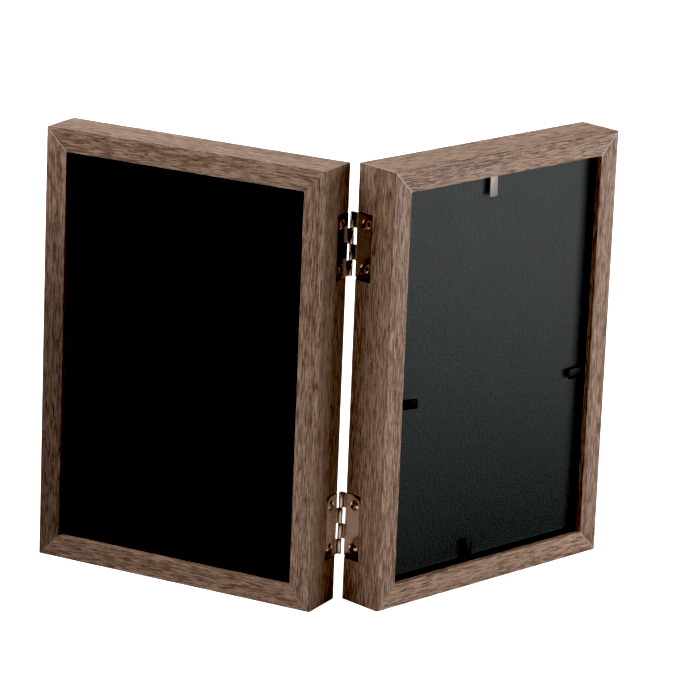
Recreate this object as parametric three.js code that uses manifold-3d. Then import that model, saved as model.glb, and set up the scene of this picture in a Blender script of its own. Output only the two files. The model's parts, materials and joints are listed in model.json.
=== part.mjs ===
// A hinged double display frame: two box-section frames, each for a 4 x 6 in card behind glass, joined
// along their inner sides by two small butt hinges and stood up as a V, like a half-open book.
// Each frame is four mitred sticks held by V-nails, with a pane, a card and a backing board in its
// rebate and four flexible steel tabs that keep the board in.
//
// Units are millimetres and +Z is up. The origin is on the surface that the frame stands on, in the
// middle of its footprint. The display faces look towards +Y, the backs towards -Y.
import * as THREE from "three";
import { mergeVertices } from "three/addons/utils/BufferGeometryUtils.js";
import Module from "manifold-3d";

// ---- Driving dimensions ------------------------------------------------------------------------

const foldAngle = THREE.MathUtils.degToRad(36); // each leaf's turn from lying flat in the XZ plane

const card = { width: 101.6, height: 152.4, thickness: 0.6 }; // the 4 x 6 in card on show
const cardPlay = 1.0; // room between the card and the rebate, all round
const moulding = {
  depth: 19.5, // display face to back
  wall: 9.0, // outer face to the rebate's wall
  lip: 6.0, // how far the front lip covers the pane
  mitreGap: 0.12, // the glue line at each mitre
};
const pane = { thickness: 2.0, play: 0.6 };
const board = { thickness: 3.0, fromBack: 4.8 }; // its outer face lies this far inside the back
const layerGap = 0.05; // between the layers in the rebate

const tab = { width: 4.0, reach: 8.7, thickness: 0.35, aboveBoard: 1.4, cornerRadius: 0.8 };
const tabShank = { length: 6.0, point: 2.2 };
const tabBend = { fromWall: 0.3, clear: 0.25 }; // the bend line, and what each half keeps clear of it
const tabSlotPlay = 0.15;

const vNail = { fromEdge: 4.4, thickness: 0.4, fromWall: 0.6, fromFront: 5.0, fromBack: 4.5 };
const vNailPlay = 0.15;

const hinge = { length: 25.0, fromBottom: 30.2, fromTop: 31.8, sheet: 0.4, plateReach: 7.8 };
const plateCorner = { along: 2.4, across: 5.0 }; // the half axes of the plates' rounded corners
const pin = { radius: 0.45, play: 0.05, proud: 0.2 };
const pinFromFace = 2.15; // how far the pin stands in front of the display faces
const knuckle = { count: 4, play: 0.1, notch: 2.1, curl: 282 }; // the curl is in degrees
const mortise = { depth: 0.5, above: 0.4, below: { left: 0.1, right: 0.9 }, behind: 0.3, play: 0.05 };
const screw = {
  fromFace: 4.8, // display face to the screw's axis
  fromPlateEnd: 3.9,
  headRadius: 1.95,
  dome: 0.4, // how far the head stands out of the plate
  coneDepth: 1.1, // the head's cone under the plate's face
  shankRadius: 0.9,
  fromWall: 0.95, // the wood left between the screw's tip and the rebate
  point: 2.5,
  holePlay: 0.1,
};
const cross = { width: 0.45, length: 2.3, depth: 0.5 }; // the screws' cross recess

// Where each tab was pressed in, measured along its stick from the middle (up, or away from the
// hinge), and how far its blade is lifted off the plane of the board, in degrees.
const tabPlaces = {
  left: {
    hinge_side: { along: -2.5, lift: 1 },
    outer_side: { along: -2.5, lift: 2 },
    top: { along: 0, lift: 0 },
    bottom: { along: 6.0, lift: 2 },
  },
  right: {
    hinge_side: { along: -6.3, lift: 21 },
    outer_side: { along: -10.7, lift: 1 },
    top: { along: -5.0, lift: 2 },
    bottom: { along: -9.4, lift: 3 },
  },
};

// ---- Derived dimensions ------------------------------------------------------------------------

const opening = { width: card.width + 2 * cardPlay, height: card.height + 2 * cardPlay };
const leafSize = {
  width: opening.width + 2 * moulding.wall,
  height: opening.height + 2 * moulding.wall,
};
const boardFront = moulding.depth - board.fromBack - board.thickness;
const cardFront = boardFront - layerGap - card.thickness;
const paneFront = cardFront - layerGap - pane.thickness;
const lipThickness = paneFront - layerGap;
const tabLevel = moulding.depth - board.fromBack + tab.aboveBoard + tab.thickness / 2;
const barrelRadius = pin.radius + pin.play + hinge.sheet;
const mortiseFloor = barrelRadius + mortise.play; // from the pin's plane
const sideFace = mortiseFloor - mortise.depth; // the leaf's hinge-side face, from the pin's plane
const displayFace = pinFromFace; // behind the pin
const plateInner = barrelRadius - hinge.sheet; // the plate's bare face, from the pin's plane
const plateOuterEdge = displayFace + hinge.plateReach;
const screwLength = sideFace + moulding.wall - screw.fromWall - plateInner;
const hingeHeights = { lower: hinge.fromBottom, upper: leafSize.height - hinge.fromTop };

// ---- Solids ------------------------------------------------------------------------------------

const wasm = await Module();
wasm.setup();

const CIRCLE = 32; // facets round a small cylinder
const SCREW_CIRCLE = 20;

// A closed three.js geometry as a manifold-3d solid, each point carried by map, facing outwards.
function solidOf(geometry, map = (x, y, z) => [x, y, z]) {
  const bare = geometry.clone();
  bare.deleteAttribute("normal");
  bare.deleteAttribute("uv");
  const merged = mergeVertices(bare, 1e-4);
  const at = merged.getAttribute("position");
  const vertProperties = new Float32Array(at.count * 3);
  for (let i = 0; i < at.count; i++) {
    vertProperties.set(map(at.getX(i), at.getY(i), at.getZ(i)), 3 * i);
  }
  const triVerts = new Uint32Array(merged.index.array);
  const made = new wasm.Manifold(new wasm.Mesh({ numProp: 3, vertProperties, triVerts }));
  if (made.volume() > 0) return made;
  for (let i = 0; i < triVerts.length; i += 3) {
    [triVerts[i + 1], triVerts[i + 2]] = [triVerts[i + 2], triVerts[i + 1]];
  }
  return new wasm.Manifold(new wasm.Mesh({ numProp: 3, vertProperties, triVerts }));
}

function meshOf(name, solid, material) {
  const made = solid.getMesh();
  const geometry = new THREE.BufferGeometry();
  geometry.setAttribute("position", new THREE.BufferAttribute(made.vertProperties, 3));
  geometry.setIndex(new THREE.BufferAttribute(made.triVerts, 1));
  geometry.computeVertexNormals();
  const mesh = new THREE.Mesh(geometry, material);
  mesh.name = name;
  return mesh;
}

function boxSolid([x0, x1], [y0, y1], [z0, z1], map) {
  const box = new THREE.BoxGeometry(x1 - x0, y1 - y0, z1 - z0);
  box.translate((x0 + x1) / 2, (y0 + y1) / 2, (z0 + z1) / 2);
  return solidOf(box, map);
}

function extruded(shape, depth, map, curveSegments = 6) {
  return solidOf(new THREE.ExtrudeGeometry(shape, { depth, bevelEnabled: false, curveSegments }), map);
}

const together = (solids) => solids.reduce((whole, one) => whole.add(one));
const without = (solid, cuts) => cuts.reduce((left, cut) => left.subtract(cut), solid);

// ---- Leaf space --------------------------------------------------------------------------------
// Every piece of a leaf is drawn in leaf space: p outwards from the pin, t backwards from the pin
// and z up. side is 1 on the right leaf and -1 on the left, which is its mirror image.

const leafMap = (side) => (p, t, z) => [side * p, -t, z];

// The four sticks: where a point lies that is `a` in from the outer edge, `d` behind the display face
// and `l` along the stick.
const sticks = {
  hinge_side: { length: leafSize.height, point: (a, d, l) => [sideFace + a, displayFace + d, l] },
  outer_side: {
    length: leafSize.height,
    point: (a, d, l) => [sideFace + leafSize.width - a, displayFace + d, l],
  },
  bottom: { length: leafSize.width, point: (a, d, l) => [sideFace + l, displayFace + d, a] },
  top: {
    length: leafSize.width,
    point: (a, d, l) => [sideFace + l, displayFace + d, leafSize.height - a],
  },
};

const inLeaf = (side, stick) => (a, d, l) => leafMap(side)(...sticks[stick].point(a, d, l));

// ---- Sticks of moulding ------------------------------------------------------------------------

function mouldingSection() {
  const { depth, wall, lip } = moulding;
  const section = new THREE.Shape();
  section.moveTo(0, 0);
  section.lineTo(wall + lip, 0);
  section.lineTo(wall + lip, lipThickness);
  section.lineTo(wall, lipThickness);
  section.lineTo(wall, depth);
  section.lineTo(0, depth);
  section.closePath();
  return section;
}

// A stick cut at 45 degrees at both ends: the deeper into the frame a point of the section lies, the
// shorter the stick is there.
function stickBlank(side, stick) {
  const { length } = sticks[stick];
  const toMitre = (a) => a + moulding.mitreGap / Math.SQRT2;
  const place = inLeaf(side, stick);
  return extruded(mouldingSection(), length, (a, d, l) =>
    place(a, d, l < length / 2 ? toMitre(a) : length - toMitre(a)),
  );
}

function tabSlot(side, stick) {
  const centre = sticks[stick].length / 2 + tabPlaces[sideName(side)][stick].along;
  const halfWidth = tab.width / 2 + tabSlotPlay;
  const halfThickness = tab.thickness / 2 + tabSlotPlay;
  return boxSolid(
    [moulding.wall - tabShank.length - tabSlotPlay, moulding.wall + 1],
    [tabLevel - halfThickness, tabLevel + halfThickness],
    [centre - halfWidth, centre + halfWidth],
    inLeaf(side, stick),
  );
}

// ---- V-nails -----------------------------------------------------------------------------------
// A V-nail is a bent steel strip pressed across the mitre: one arm in the upright, one in the rail.

const corners = {
  hinge_bottom: { outer: false, top: false },
  hinge_top: { outer: false, top: true },
  outer_bottom: { outer: true, top: false },
  outer_top: { outer: true, top: true },
};

function vNailSolid(side, corner, play) {
  const { outer, top } = corners[corner];
  const { fromEdge, thickness, fromWall, fromFront, fromBack } = vNail;
  const length = moulding.depth - fromFront - fromBack;
  const near = fromEdge - thickness / 2 - play;
  const far = moulding.wall - fromWall + play;
  const across = fromEdge + thickness / 2 + play;
  const bent = new THREE.Shape();
  bent.moveTo(near, near);
  bent.lineTo(far, near);
  bent.lineTo(far, across);
  bent.lineTo(across, across);
  bent.lineTo(across, far);
  bent.lineTo(near, far);
  bent.closePath();
  return extruded(bent, length + 2 * play, (u, v, d) =>
    leafMap(side)(
      sideFace + (outer ? leafSize.width - u : u),
      displayFace + fromFront - play + d,
      top ? leafSize.height - v : v,
    ),
  );
}

// ---- Layers in the rebate ----------------------------------------------------------------------

function layer(side, width, height, front, thickness) {
  const middle = sideFace + leafSize.width / 2;
  const centre = leafSize.height / 2;
  return boxSolid(
    [middle - width / 2, middle + width / 2],
    [displayFace + front, displayFace + front + thickness],
    [centre - height / 2, centre + height / 2],
    leafMap(side),
  );
}

// ---- Tabs --------------------------------------------------------------------------------------
// A tab is drawn with x inwards from the rebate's wall, y along the stick and z backwards.

function tabPoint(side, stick) {
  const middle = sticks[stick].length / 2 + tabPlaces[sideName(side)][stick].along;
  const place = inLeaf(side, stick);
  return (x, y, z) => place(moulding.wall + x, tabLevel + z, middle + y);
}

function tabBlade(side, stick) {
  const root = tabBend.fromWall + tabBend.clear;
  const { width, reach, thickness, cornerRadius: r } = tab;
  const outline = new THREE.Shape();
  outline.moveTo(root, -width / 2);
  outline.lineTo(reach - r, -width / 2);
  outline.absarc(reach - r, -width / 2 + r, r, -Math.PI / 2, 0);
  outline.absarc(reach - r, width / 2 - r, r, 0, Math.PI / 2);
  outline.lineTo(root, width / 2);
  outline.closePath();
  const lift = THREE.MathUtils.degToRad(tabPlaces[sideName(side)][stick].lift);
  const place = tabPoint(side, stick);
  return extruded(outline, thickness, (x, y, z) => {
    const along = x - tabBend.fromWall;
    const up = z - thickness / 2;
    return place(
      tabBend.fromWall + along * Math.cos(lift) - up * Math.sin(lift),
      y,
      along * Math.sin(lift) + up * Math.cos(lift),
    );
  });
}

function tabShankSolid(side, stick) {
  const { width, thickness } = tab;
  const { length, point } = tabShank;
  const outer = tabBend.fromWall - tabBend.clear;
  const outline = new THREE.Shape();
  outline.moveTo(outer, -width / 2);
  outline.lineTo(outer, width / 2);
  outline.lineTo(point - length, width / 2);
  outline.lineTo(-length, 0);
  outline.lineTo(point - length, -width / 2);
  outline.closePath();
  const place = tabPoint(side, stick);
  return extruded(outline, thickness, (x, y, z) => place(x, y, z - thickness / 2));
}

// ---- Hinges ------------------------------------------------------------------------------------
// Both plates of a hinge are the same stamping, one turned end for end: counted from the top, the
// right plate has the first and third knuckles and the left plate the second and fourth.

const knuckleLength = hinge.length / knuckle.count;

const knuckleSpans = () =>
  Array.from({ length: knuckle.count }, (_, index) => {
    const top = hinge.length / 2 - index * knuckleLength;
    return { top, bottom: top - knuckleLength };
  });

const ownsKnuckle = (side, index) => index % 2 === (side > 0 ? 0 : 1);

const screwHeights = () => [-1, 1].map((end) => end * (hinge.length / 2 - screw.fromPlateEnd));

// The plate's outline, across from the pin and along the hinge, notched round the other's knuckles.
function platePlan(side) {
  const { along, across } = plateCorner;
  const half = hinge.length / 2;
  const corner = plateOuterEdge - across;
  const plan = new THREE.Shape();
  plan.moveTo(corner, -half);
  plan.absellipse(corner, along - half, across, along, -Math.PI / 2, 0);
  plan.absellipse(corner, half - along, across, along, 0, Math.PI / 2);
  knuckleSpans().forEach(({ top, bottom }, index) => {
    const owned = ownsKnuckle(side, index);
    const edge = owned ? 0 : knuckle.notch;
    const trim = owned ? -knuckle.play : knuckle.play;
    plan.lineTo(edge, index === 0 ? half : top + trim);
    plan.lineTo(edge, index === knuckle.count - 1 ? -half : bottom - trim);
  });
  plan.closePath();
  return plan;
}

// One curled knuckle, seen along the pin: the plate's strip wraps round the pin and stops just short
// of itself. It starts a little way back along the strip, so that the two join.
function curlPlan() {
  const bore = pin.radius + pin.play;
  const overlap = 0.3;
  const end = THREE.MathUtils.degToRad(-knuckle.curl);
  const plan = new THREE.Shape();
  plan.moveTo(barrelRadius, overlap);
  plan.lineTo(barrelRadius, 0);
  plan.absarc(0, 0, barrelRadius, 0, end, true);
  plan.absarc(0, 0, bore, end, 0, false);
  plan.lineTo(bore, overlap);
  plan.closePath();
  return plan;
}

function hingePlate(side, height) {
  const strip = extruded(platePlan(side), hinge.sheet, (t, z, p) =>
    leafMap(side)(plateInner + p, t, height + z),
  );
  const curls = knuckleSpans()
    .filter((_, index) => ownsKnuckle(side, index))
    .map(({ top, bottom }) => {
      const tall = top - bottom - 2 * knuckle.play;
      const low = height + bottom + knuckle.play;
      return extruded(curlPlan(), tall, (p, t, z) => leafMap(side)(p, t, low + z), CIRCLE);
    });
  const holes = screwHeights().map((z) => screwHole(side, height + z));
  return without(together([strip, ...curls]), holes);
}

function hingePin(height) {
  const { radius, proud } = pin;
  const half = hinge.length / 2 + proud;
  const rounding = radius / 2;
  const profile = [
    new THREE.Vector2(0, -half),
    new THREE.Vector2(radius - rounding, -half),
    new THREE.Vector2(radius, rounding - half),
    new THREE.Vector2(radius, half - rounding),
    new THREE.Vector2(radius - rounding, half),
    new THREE.Vector2(0, half),
  ];
  const rod = new THREE.LatheGeometry(profile, CIRCLE);
  rod.rotateX(Math.PI / 2).translate(0, 0, height);
  return solidOf(rod);
}

// A mortise for one plate, open towards the display face.
function mortiseCut(side, height) {
  return boxSolid(
    [sideFace - 1, mortiseFloor],
    [displayFace - 1, plateOuterEdge + mortise.behind],
    [
      height - hinge.length / 2 - mortise.below[sideName(side)],
      height + hinge.length / 2 + mortise.above,
    ],
    leafMap(side),
  );
}

// ---- Screws ------------------------------------------------------------------------------------
// A screw is drawn along +y from the underside of its head, then laid along p.

function screwTurned(profile, side, height) {
  const t = displayFace + screw.fromFace;
  const lathe = new THREE.LatheGeometry(profile, SCREW_CIRCLE);
  return solidOf(lathe, (x, y, z) => leafMap(side)(plateInner + y, t + x, height + z));
}

// An oval countersunk screw: a low dome, a cone that sinks into the plate and the wood, and a shank.
function screwSolid(side, height) {
  const { headRadius, dome, coneDepth, shankRadius, point } = screw;
  const domeProfile = [0, 0.4, 0.75, 1].map(
    (share) => new THREE.Vector2(headRadius * share, -dome * (1 - 0.8 * share * share)),
  );
  const body = screwTurned(
    [
      ...domeProfile,
      new THREE.Vector2(shankRadius, coneDepth),
      new THREE.Vector2(shankRadius, screwLength - point),
      new THREE.Vector2(0, screwLength),
    ],
    side,
    height,
  );
  const t = displayFace + screw.fromFace;
  const arms = [
    [cross.width / 2, cross.length / 2],
    [cross.length / 2, cross.width / 2],
  ].map(([halfT, halfZ]) =>
    boxSolid(
      [plateInner - dome - 1, plateInner - dome + cross.depth],
      [t - halfT, t + halfT],
      [height - halfZ, height + halfZ],
      leafMap(side),
    ),
  );
  return without(body, arms);
}

// The countersunk hole for a screw, through the plate and into the wood.
function screwHole(side, height) {
  const { headRadius, coneDepth, shankRadius, point, holePlay } = screw;
  return screwTurned(
    [
      new THREE.Vector2(0, -1),
      new THREE.Vector2(headRadius + 2 * holePlay, -1),
      new THREE.Vector2(headRadius + 2 * holePlay, 0),
      new THREE.Vector2(shankRadius + holePlay, coneDepth + holePlay),
      new THREE.Vector2(shankRadius + holePlay, screwLength - point),
      new THREE.Vector2(0, screwLength + 3 * holePlay),
    ],
    side,
    height,
  );
}

// ---- Materials ---------------------------------------------------------------------------------

const finish = (color, roughness, metalness = 0) =>
  new THREE.MeshStandardMaterial({ color, roughness, metalness });
const materials = {
  walnut: finish(0x7d6555, 0.62),
  steel: finish(0x9a9a9a, 0.4, 1),
  blackSteel: finish(0x141210, 0.45, 0.8),
  hingeMetal: finish(0x8f7a68, 0.25, 1),
  board: finish(0x262828, 0.7),
  card: finish(0xe9e4d8, 0.85),
  glass: new THREE.MeshStandardMaterial({
    color: 0xe8f0ee,
    roughness: 0.05,
    transparent: true,
    opacity: 0.3,
  }),
};

// ---- Assembly ----------------------------------------------------------------------------------

function sideName(side) {
  return side > 0 ? "right" : "left";
}

const screwPlaces = () =>
  Object.entries(hingeHeights).flatMap(([place, height]) =>
    screwHeights().map((z) => ({
      name: `${place}_hinge_screw_${z > 0 ? "upper" : "lower"}`,
      height: height + z,
    })),
  );

function stickSolid(side, stick) {
  const cuts = [tabSlot(side, stick)];
  for (const corner of Object.keys(corners)) cuts.push(vNailSolid(side, corner, vNailPlay));
  if (stick === "hinge_side") {
    for (const height of Object.values(hingeHeights)) cuts.push(mortiseCut(side, height));
    for (const { height } of screwPlaces()) cuts.push(screwHole(side, height));
  }
  return without(stickBlank(side, stick), cuts);
}

function leaf(side) {
  const group = new THREE.Group();
  const name = sideName(side);
  const add = (label, solid, material) => group.add(meshOf(`${name}_${label}`, solid, material));

  for (const stick of Object.keys(sticks)) {
    add(`stick_${stick}`, stickSolid(side, stick), materials.walnut);
    add(`tab_${stick}`, tabBlade(side, stick), materials.blackSteel);
    add(`tab_shank_${stick}`, tabShankSolid(side, stick), materials.blackSteel);
  }
  for (const corner of Object.keys(corners)) {
    add(`v_nail_${corner}`, vNailSolid(side, corner, 0), materials.steel);
  }
  const paneWidth = opening.width - 2 * pane.play;
  const paneHeight = opening.height - 2 * pane.play;
  add("glass_pane", layer(side, paneWidth, paneHeight, paneFront, pane.thickness), materials.glass);
  add("card", layer(side, card.width, card.height, cardFront, card.thickness), materials.card);
  add(
    "backing_board",
    layer(side, card.width, card.height, boardFront, board.thickness),
    materials.board,
  );
  for (const [place, height] of Object.entries(hingeHeights)) {
    add(`${place}_hinge_plate`, hingePlate(side, height), materials.hingeMetal);
  }
  for (const { name: label, height } of screwPlaces()) {
    add(label, screwSolid(side, height), materials.hingeMetal);
  }
  group.rotation.z = side * foldAngle;
  return group;
}

function displayFrame() {
  const frame = new THREE.Group();
  frame.add(leaf(-1), leaf(1));
  for (const [place, height] of Object.entries(hingeHeights)) {
    frame.add(meshOf(`${place}_hinge_pin`, hingePin(height), materials.hingeMetal));
  }
  // The footprint reaches back to the leaves' inner back corners and forward to their outer front ones.
  const back = sideFace * Math.sin(foldAngle) - (displayFace + moulding.depth) * Math.cos(foldAngle);
  const reach = sideFace + leafSize.width;
  const front = reach * Math.sin(foldAngle) - displayFace * Math.cos(foldAngle);
  frame.position.y = -(back + front) / 2;
  return frame;
}

export default displayFrame();
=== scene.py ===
# %% [markdown]
# # A hinged double display frame
# Two small wooden frames stand on a table like a half-open book, joined by two butt hinges. Each
# one holds a pane, a card and a black backing board, kept in by four steel tabs that bend.
# The CAD model settles every size, place and joint. This lesson loads it as a fixed frame, and
# then builds the finished surface of each piece around it, one kind of piece at a time.

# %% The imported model
import json
import math

import bmesh
import bpy
from mathutils import Matrix, Quaternion, Vector


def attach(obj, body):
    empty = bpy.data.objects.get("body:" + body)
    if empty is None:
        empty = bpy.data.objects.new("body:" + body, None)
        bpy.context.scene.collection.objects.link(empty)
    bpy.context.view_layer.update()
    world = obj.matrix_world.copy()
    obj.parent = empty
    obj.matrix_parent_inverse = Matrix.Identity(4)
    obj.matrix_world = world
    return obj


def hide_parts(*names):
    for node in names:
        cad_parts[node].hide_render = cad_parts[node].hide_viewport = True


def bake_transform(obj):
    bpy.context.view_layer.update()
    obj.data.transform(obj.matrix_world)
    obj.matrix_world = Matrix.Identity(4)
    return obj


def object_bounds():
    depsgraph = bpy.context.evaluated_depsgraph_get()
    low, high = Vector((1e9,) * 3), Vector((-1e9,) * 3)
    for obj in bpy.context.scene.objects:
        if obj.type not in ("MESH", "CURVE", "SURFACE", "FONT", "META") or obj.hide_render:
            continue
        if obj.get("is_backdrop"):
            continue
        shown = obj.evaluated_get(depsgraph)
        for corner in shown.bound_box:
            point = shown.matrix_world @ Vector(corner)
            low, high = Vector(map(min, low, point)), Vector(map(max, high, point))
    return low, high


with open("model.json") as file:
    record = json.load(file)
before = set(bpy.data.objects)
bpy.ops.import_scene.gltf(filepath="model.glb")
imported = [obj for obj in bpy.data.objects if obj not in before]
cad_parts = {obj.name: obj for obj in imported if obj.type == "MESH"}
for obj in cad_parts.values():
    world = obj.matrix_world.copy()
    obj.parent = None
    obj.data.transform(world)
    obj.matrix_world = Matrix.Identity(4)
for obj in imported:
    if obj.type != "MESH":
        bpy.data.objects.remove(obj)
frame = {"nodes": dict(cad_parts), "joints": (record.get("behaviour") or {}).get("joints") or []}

MM = 0.001
HAIR = 0.01 * MM  # two faces closer than this count as one
MITRE = math.sqrt(0.5)  # the sine and the cosine of a mitre's 45 degrees
SIDES = {"left": -1, "right": 1}
STICKS = ("hinge_side", "outer_side", "bottom", "top")
nodes = frame["nodes"]
joints = {joint["name"]: joint for joint in frame["joints"]}
cad_low, cad_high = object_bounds()
scene = bpy.context.scene
print("CAD nodes:", len(nodes), " size in mm:", [round(x / MM, 1) for x in cad_high - cad_low])

# %% [markdown]
# ## Leaf space
# Both frames are the same thing, mirrored and swung round the pin, so they are drawn once, in a
# space of their own: out from the pin, back from the pin, and up. One matrix for each side then
# carries a finished mesh to its place. The fold joint's own limits give the angle: at its lowest
# one the leaves lie in one plane, so each has turned by half of it.

# %% Leaf space
fold = math.radians(-joints["leaf_fold"]["range_deg"][0] / 2)
pin_place = Vector(joints["leaf_fold"]["pos_m"])


def leaf_matrix(side):
    """Carries leaf space to the model, for the left or the right leaf."""
    stand = Matrix.Translation((pin_place.x, pin_place.y, 0))
    swing = Matrix.Rotation(SIDES[side] * fold, 4, "Z")
    return stand @ swing @ Matrix.Diagonal((SIDES[side], -1, 1, 1))


def points_in(matrix, name):
    """A CAD node's corners, in the space that the matrix carries to the model."""
    back = matrix.inverted()
    return [back @ vertex.co for vertex in nodes[name].data.vertices]


def box_in(matrix, *names):
    """The lowest and highest corners of CAD nodes, in the space that the matrix carries."""
    points = [point for name in names for point in points_in(matrix, name)]
    low = Vector([min(point[axis] for point in points) for axis in range(3)])
    high = Vector([max(point[axis] for point in points) for axis in range(3)])
    return low, high


leaf_low, leaf_high = box_in(leaf_matrix("right"), *[f"right_stick_{stick}" for stick in STICKS])
leaf_size = leaf_high - leaf_low
print("each leaf turns", round(math.degrees(fold), 1), "degrees and is", leaf_size / MM, "mm")

# %% [markdown]
# ## Stick space
# A frame is four sticks of one moulding. Each stick is drawn with x across the wall from its outer
# face, y from the display face back, and z along its length, so that one recipe makes all eight.

# %% Stick space
STICK_AXES = {
    "hinge_side": ((1, 0, 0), (0, 0, 1), (0, 0)),
    "outer_side": ((-1, 0, 0), (0, 0, 1), (1, 0)),
    "bottom": ((0, 0, 1), (1, 0, 0), (0, 0)),
    "top": ((0, 0, -1), (1, 0, 0), (0, 1)),
}


def stick_matrix(side, stick):
    """Carries stick space to the model."""
    across, along, (far, up) = STICK_AXES[stick]
    start = Vector((leaf_low.x + far * leaf_size.x, leaf_low.y, up * leaf_size.z))
    columns = Matrix((across, (0, 1, 0), along)).transposed().to_4x4()
    return leaf_matrix(side) @ Matrix.Translation(start) @ columns


def stick_length(stick):
    return leaf_size.z if stick.endswith("side") else leaf_size.x


section = points_in(stick_matrix("right", "outer_side"), "right_stick_outer_side")
depth = max(point.y for point in section)
lip_reach = max(point.x for point in section)
wall = max(point.x for point in section if point.y > depth - HAIR)
lip_thickness = max(point.y for point in section if point.x > wall + HAIR)
print("moulding in mm:", [round(x / MM, 2) for x in (wall, lip_reach, depth, lip_thickness)])

# %% [markdown]
# ## Writing node trees as sums
# Shader and geometry trees are easier to read as formulas than as wiring. Wire wraps one output
# of a node, and Python's own signs then add the Math nodes. Recipe adds every other node.

# %% Wires and recipes
class Wire:
    """One output of a node, which the signs + - * and > can reckon with."""

    def __init__(self, recipe, socket):
        self.recipe = recipe
        self.socket = socket

    def math(self, operation, *values):
        return self.recipe.node("ShaderNodeMath", {"operation": operation}, dict(enumerate(values)))

    def __add__(self, other):
        return self.math("ADD", self, other)

    def __radd__(self, other):
        return self.math("ADD", other, self)

    def __sub__(self, other):
        return self.math("SUBTRACT", self, other)

    def __rsub__(self, other):
        return self.math("SUBTRACT", other, self)

    def __mul__(self, other):
        return self.math("MULTIPLY", self, other)

    def __rmul__(self, other):
        return self.math("MULTIPLY", other, self)

    def __gt__(self, other):
        return self.math("GREATER_THAN", self, other)


class Recipe:
    """A node tree that is written one step at a time."""

    def __init__(self, tree):
        self.tree = tree

    def node(self, kind, settings=None, inputs=None, output=0):
        """Adds a node, sets it up, feeds its sockets and returns one of its outputs as a Wire."""
        made = self.tree.nodes.new(kind)
        for name, value in (settings or {}).items():
            if name == "items":
                while len(made.index_switch_items) < value:
                    made.index_switch_items.new()
            else:
                setattr(made, name, value)
        for name, value in (inputs or {}).items():
            self.feed(made.inputs[name], value)
        return Wire(self, made.outputs[output])

    def feed(self, socket, *values):
        """Links wires to a socket, or sets it to a plain value."""
        for value in values:
            if isinstance(value, Wire):
                self.tree.links.new(value.socket, socket)
            else:
                socket.default_value = value

    def less(self, one, other):
        return one.math("MINIMUM", one, other)

    def vector(self, x, y, z):
        return self.node("ShaderNodeCombineXYZ", {}, {"X": x, "Y": y, "Z": z})

    def parts(self, vector):
        made = self.node("ShaderNodeSeparateXYZ", {}, {"Vector": vector}).socket.node
        return [Wire(self, socket) for socket in made.outputs]


# %% [markdown]
# ## From CAD copies and trees to plain meshes
# A few helpers do what every piece needs: copy a CAD solid as one closed skin, turn modifiers into
# a plain mesh, carry a mesh to its place, round its edges, and hand it over to the frame.

# %% Mesh helpers
def new_piece(name, mesh):
    piece = bpy.data.objects.new(name, mesh)
    scene.collection.objects.link(piece)
    return piece


def solid_copy(name, node, swell=0.0):
    """A CAD node as one closed skin with whole flat faces, grown by swell on every side."""
    work = bmesh.new()
    work.from_mesh(nodes[node].data)
    bmesh.ops.remove_doubles(work, verts=work.verts, dist=0.1 * HAIR)
    turn = math.radians(1)
    bmesh.ops.dissolve_limit(work, angle_limit=turn, verts=work.verts, edges=work.edges)
    work.normal_update()
    moves = [vertex.normal * vertex.calc_shell_factor() * swell for vertex in work.verts]
    for vertex, move in zip(work.verts, moves):
        vertex.co += move
    mesh = bpy.data.meshes.new(name)
    work.to_mesh(mesh)
    work.free()
    return new_piece(name, mesh)


def settle(piece):
    """Turns a piece and its modifiers into one plain mesh."""
    graph = bpy.context.evaluated_depsgraph_get()
    seen = piece.evaluated_get(graph)
    made = bpy.data.meshes.new_from_object(seen, preserve_all_data_layers=True, depsgraph=graph)
    piece.modifiers.clear()
    piece.data = made
    made.name = piece.name
    return piece


def carry(piece, matrix):
    """Moves a piece's mesh, and turns its faces out again where the move mirrors it."""
    piece.data.transform(matrix)
    if matrix.determinant() < 0:
        piece.data.flip_normals()
    return piece


def shade(piece, sharpest=32):
    """Shades a piece smooth, except over edges that turn by more than this many degrees."""
    piece.data.shade_smooth()
    piece.data.set_sharp_from_angle(angle=math.radians(sharpest))
    return piece


def round_edges(piece, width, segments=2, sharpest=38):
    """Rounds every sharp edge, as tumbling or sanding does."""
    bevel = piece.modifiers.new("rounded edges", "BEVEL")
    bevel.width = width
    bevel.segments = segments
    bevel.limit_method = "ANGLE"
    bevel.angle_limit = math.radians(sharpest)
    bevel.use_clamp_overlap = True
    settle(piece)
    return shade(piece)


def level_faces(piece):
    """Keeps flat faces evenly lit where they meet a rounding."""
    weights = piece.modifiers.new("level faces", "WEIGHTED_NORMAL")
    weights.keep_sharp = True
    return settle(piece)


def paint(piece, material):
    piece.data.materials.clear()
    piece.data.materials.append(material)
    return piece


def drop_empty_slots(piece):
    """Leaves out the material slots that hold nothing, and points each face at its material."""
    held = list(piece.data.materials)
    worn = [held[face.material_index] for face in piece.data.polygons]
    kept = [material for material in held if material is not None]
    kept = list(dict.fromkeys(kept))
    places = [kept.index(material) if material else 0 for material in worn]
    piece.data.materials.clear()
    for material in kept:
        piece.data.materials.append(material)
    piece.data.polygons.foreach_set("material_index", places)
    return piece


def hand_over(piece, body, slot, *replaced):
    """The piece moves with a body and stands for these CAD nodes; the slot is not used."""
    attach(piece, body)
    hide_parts(*replaced)


# %% Running a geometry tree
def start_tree(name, sockets):
    """A geometry tree with named inputs: returns its recipe, its inputs and its output node."""
    tree = bpy.data.node_groups.new(name, "GeometryNodeTree")
    for label, kind in sockets.items():
        tree.interface.new_socket(label, in_out="INPUT", socket_type=f"NodeSocket{kind}")
    tree.interface.new_socket("Geometry", in_out="OUTPUT", socket_type="NodeSocketGeometry")
    recipe = Recipe(tree)
    given = tree.nodes.new("NodeGroupInput")
    result = tree.nodes.new("NodeGroupOutput")
    return recipe, {label: Wire(recipe, given.outputs[label]) for label in sockets}, result


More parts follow.
